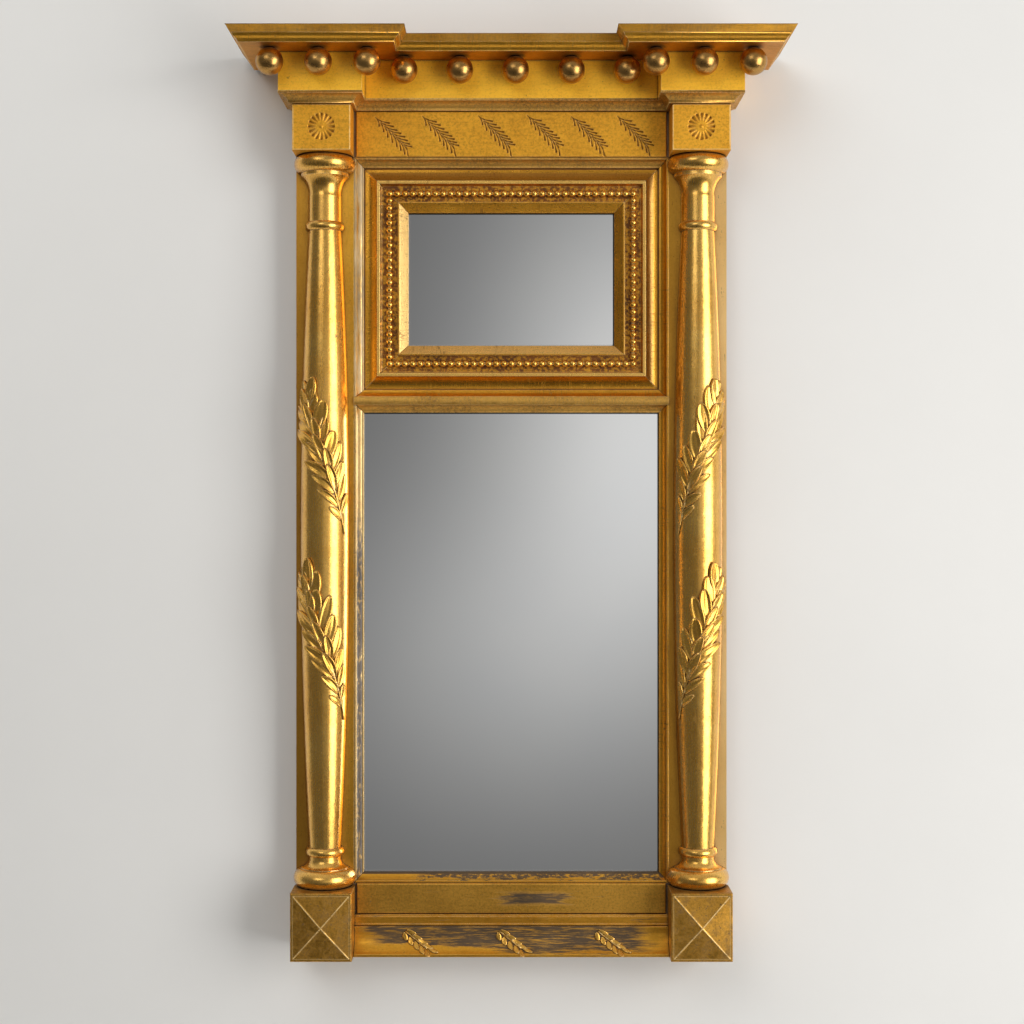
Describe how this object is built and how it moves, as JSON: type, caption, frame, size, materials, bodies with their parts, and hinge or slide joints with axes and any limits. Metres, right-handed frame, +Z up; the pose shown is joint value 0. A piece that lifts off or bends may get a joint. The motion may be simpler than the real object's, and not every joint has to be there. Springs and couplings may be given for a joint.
{
  "type": "giltwood pillar mirror",
  "caption": "Tall wall mirror in a gilded wood frame: breakfront cornice hung with balls, half-round columns with leaf sprays, a beaded tablet mirror above the looking-glass.",
  "frame": {"origin": "on the wall plane, on the middle of the mirror, level with the axes of its two hanger rings", "axes": "+Z up, +X to the right as seen from the front, +Y into the wall, so the mirror faces -Y"},
  "size_m": [0.579, 0.1266, 0.9625],
  "materials": {
    "gilt_flat": "matt gilding over gesso on wood",
    "gilt_bright": "burnished gilding on turned wood",
    "gilt_balls": "dark gilding on turned wood",
    "gilt_stile": "gilded front, bare pine back",
    "pine": "aged bare pine",
    "mirror": "silvered plate glass",
    "brass": "dull brass",
    "iron": "dark iron"
  },
  "bodies": {
    "frame": {"backboard_nails": "iron", "ball_frieze_centre": "gilt_flat", "ball_frieze_left": "gilt_flat", "ball_frieze_right": "gilt_flat", "base_band": "gilt_flat", "base_cove": "gilt_flat", "base_left": "gilt_bright", "base_panel": "gilt_flat", "base_right": "gilt_bright", "beads_long": "gilt_bright", "beads_short": "gilt_bright", "bed_moulding": "gilt_flat", "bottom_rail": "pine", "capital_left": "gilt_bright", "capital_right": "gilt_bright", "column_screws": "iron", "cornice_board": "gilt_stile", "crown_centre": "gilt_flat", "crown_left": "gilt_flat", "crown_right": "gilt_flat", "die_left": "gilt_flat", "die_right": "gilt_flat", "divider_bar": "gilt_flat", "divider_rail": "pine", "frieze_balls": "gilt_balls", "frieze_panel": "gilt_flat", "frieze_rail": "pine", "glazing_blocks": "pine", "hanger_screws": "brass", "hanger_straps": "brass", "leaf_spray_left_lower": "gilt_bright", "leaf_spray_left_upper": "gilt_bright", "leaf_spray_right_lower": "gilt_bright", "leaf_spray_right_upper": "gilt_bright", "lower_sight_bottom": "gilt_flat", "lower_sight_left": "gilt_flat", "lower_sight_right": "gilt_flat", "lower_sight_top": "gilt_flat", "main_backboard": "pine", "main_mirror": "mirror", "plinth_left": "gilt_flat", "plinth_right": "gilt_flat", "shaft_left": "gilt_bright", "shaft_right": "gilt_bright", "stile_left": "gilt_stile", "stile_right": "gilt_stile", "tablet_backboard": "pine", "tablet_bottom": "gilt_flat", "tablet_left": "gilt_flat", "tablet_mirror": "mirror", "tablet_right": "gilt_flat", "tablet_top": "gilt_flat", "upper_sight_bottom": "gilt_flat", "upper_sight_left": "gilt_flat", "upper_sight_right": "gilt_flat", "upper_sight_top": "gilt_flat"},
    "left_ring": {"hang_ring_left": "brass"},
    "right_ring": {"hang_ring_right": "brass"}
  },
  "joints": [
    {"name": "left_ring_swing", "type": "hinge", "parent": "frame", "child": "left_ring", "pos_m": [-0.19875, 0.00278, 0], "axis": [1, 0, 0], "range_deg": [0, 180]},
    {"name": "right_ring_swing", "type": "hinge", "parent": "frame", "child": "right_ring", "pos_m": [0.19875, 0.00278, 0], "axis": [1, 0, 0], "range_deg": [0, 180]}
  ]
}
